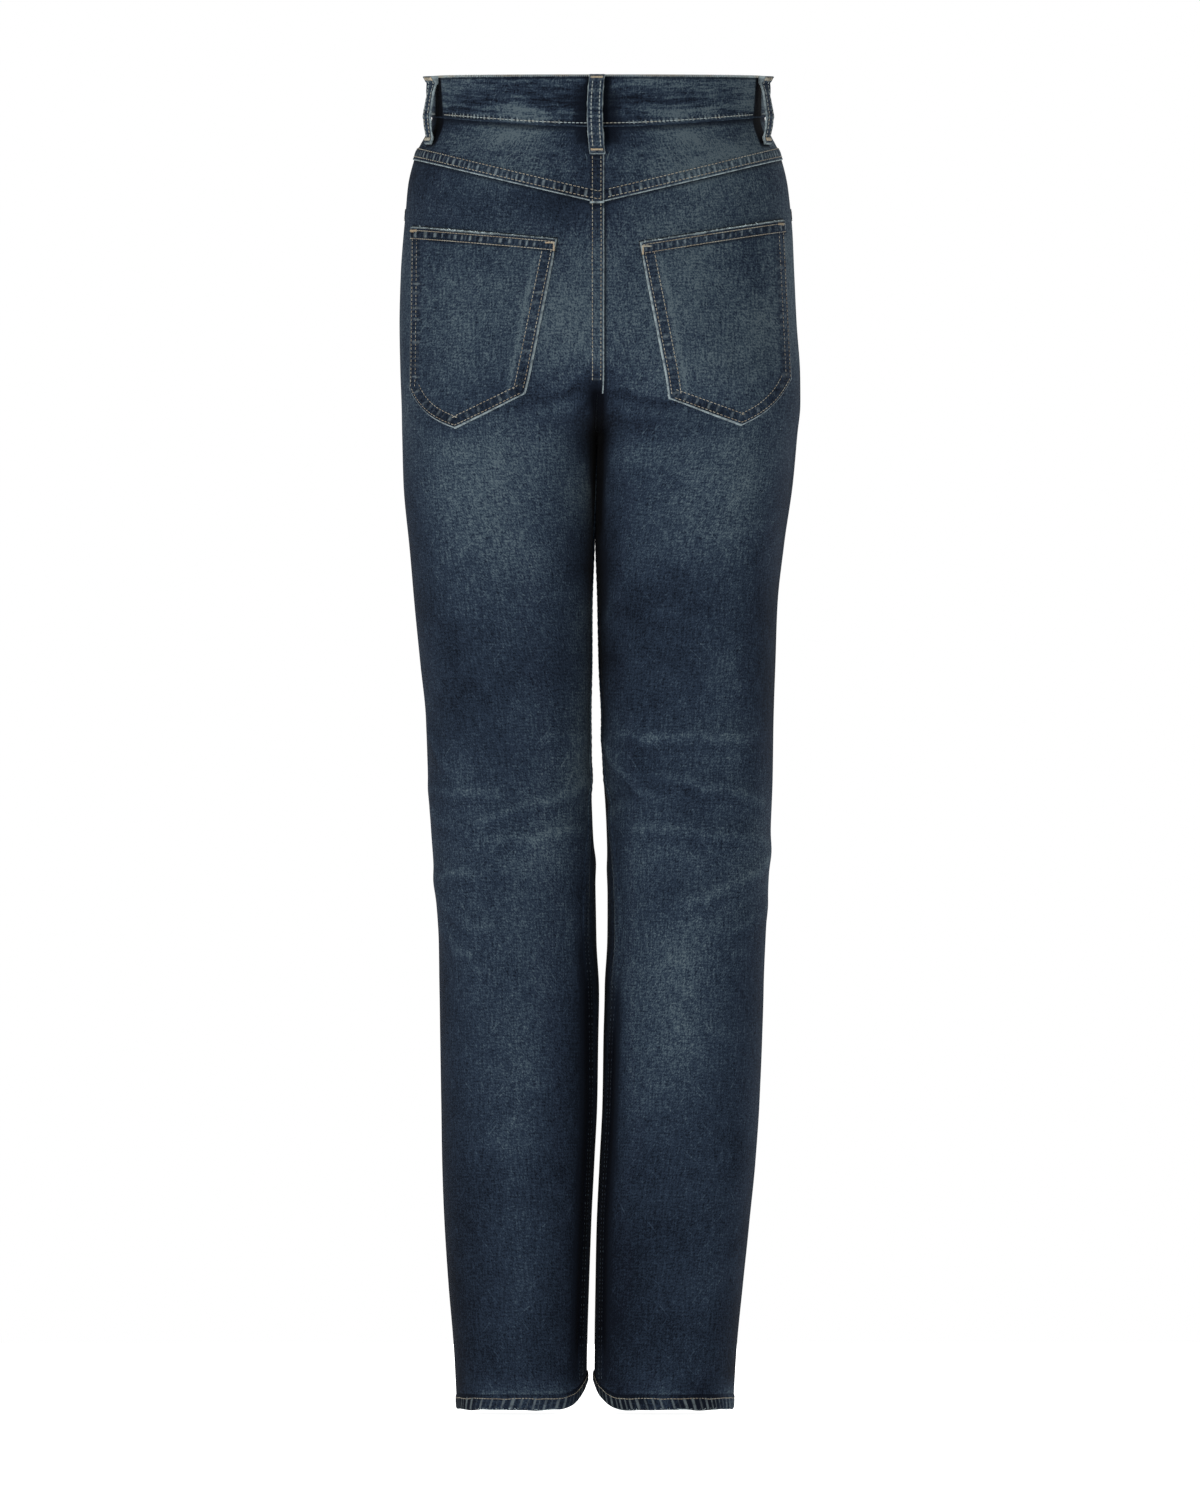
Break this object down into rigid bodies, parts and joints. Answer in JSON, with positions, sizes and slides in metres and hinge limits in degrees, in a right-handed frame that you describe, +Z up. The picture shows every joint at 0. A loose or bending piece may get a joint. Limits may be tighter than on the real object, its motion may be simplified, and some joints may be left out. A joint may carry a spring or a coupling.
{
  "type": "straight leg jeans",
  "caption": "High-rise straight leg denim jeans with a belt-looped waistband, back yoke, patch back pockets, curved front pocket mouths and a zip fly, filled out as when worn.",
  "frame": {"origin": "centre of the waistband's ring, half way down its height at the centre back, where the wearer's waist holds the jeans up", "axes": "+Z up; the front faces -Y and the back +Y; +X is the wearer's left"},
  "size_m": [0.3239, 0.2396, 1.0808],
  "materials": {
    "denim": "indigo twill denim, washed, with pale slub streaks and beige seam thread",
    "denim_band": "indigo twill denim, darker, double layer",
    "denim_faded": "indigo twill denim, rubbed paler along its edges",
    "tape": "woven zip tape, navy",
    "metal": "antiqued brass, plain"
  },
  "bodies": {
    "root": {"back_left_hip": "denim", "back_left_knee": "denim", "back_left_calf": "denim", "back_right_hip": "denim", "back_right_knee": "denim", "back_right_calf": "denim", "front_left_hip": "denim", "front_left_knee": "denim", "front_left_calf": "denim", "front_right_hip": "denim", "front_right_knee": "denim", "front_right_calf": "denim", "yoke_left": "denim_faded", "yoke_right": "denim_faded", "pocket_back_left": "denim", "pocket_back_right": "denim", "pocket_facing_left": "denim", "pocket_facing_right": "denim", "waistband": "denim_band", "loop_back": "denim_faded", "loop_side_left": "denim_faded", "loop_side_right": "denim_faded", "loop_front_left": "denim_faded", "loop_front_right": "denim_faded", "fly_shield": "denim", "zip": "tape", "button": "metal"}
  },
  "joints": []
}
